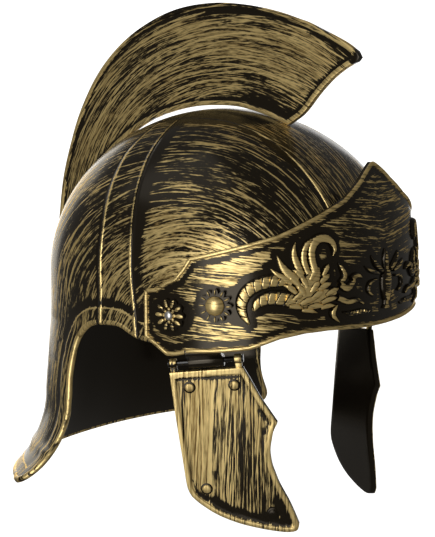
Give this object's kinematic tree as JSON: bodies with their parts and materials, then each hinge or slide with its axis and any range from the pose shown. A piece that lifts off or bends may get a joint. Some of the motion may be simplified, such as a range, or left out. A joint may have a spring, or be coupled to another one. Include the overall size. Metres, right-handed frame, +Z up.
{
  "type": "roman legionary helmet",
  "caption": "Costume legionary helmet: deep skull with flared neck guard, crescent crest, pointed brow band with relief, and hinged cheek guards.",
  "frame": {"origin": "middle of the head opening, at the level of the brow where the dome starts; the head_seat mount", "axes": "+Z up, -Y towards the wearer's front, +X to the wearer's left; the helmet is symmetric about the plane X = 0"},
  "size_m": [0.2503, 0.274, 0.3184],
  "materials": {
    "black_plastic": "glossy near-black moulded plastic with dry-brushed gold strokes outside",
    "gold_brushed_plastic": "black moulded plastic dry-brushed with matte antique gold on the raised faces",
    "rivet_steel": "plain silvery rivet"
  },
  "bodies": {
    "shell": {"skull_shell": "black_plastic", "crest": "gold_brushed_plastic", "brow_band": "gold_brushed_plastic", "rosette_rear_right": "gold_brushed_plastic", "rosette_rear_left": "gold_brushed_plastic", "rosette_front_right": "gold_brushed_plastic", "rosette_front_left": "gold_brushed_plastic", "band_rivet_right": "rivet_steel", "band_rivet_left": "rivet_steel"},
    "cheek_right": {"cheek_guard_right": "gold_brushed_plastic", "hinge_pin_right": "black_plastic"},
    "cheek_left": {"cheek_guard_left": "gold_brushed_plastic", "hinge_pin_left": "black_plastic"}
  },
  "joints": [
    {"name": "cheek_hinge_right", "type": "hinge", "parent": "shell", "child": "cheek_right", "pos_m": [-0.083, -0.04802, -0.0378], "axis": [-0.5005, 0.8595, -0.1036], "range_deg": [-20, 90]},
    {"name": "cheek_hinge_left", "type": "hinge", "parent": "shell", "child": "cheek_left", "pos_m": [0.083, -0.04802, -0.0378], "axis": [-0.5005, -0.8595, 0.1036], "range_deg": [-20, 90]}
  ]
}
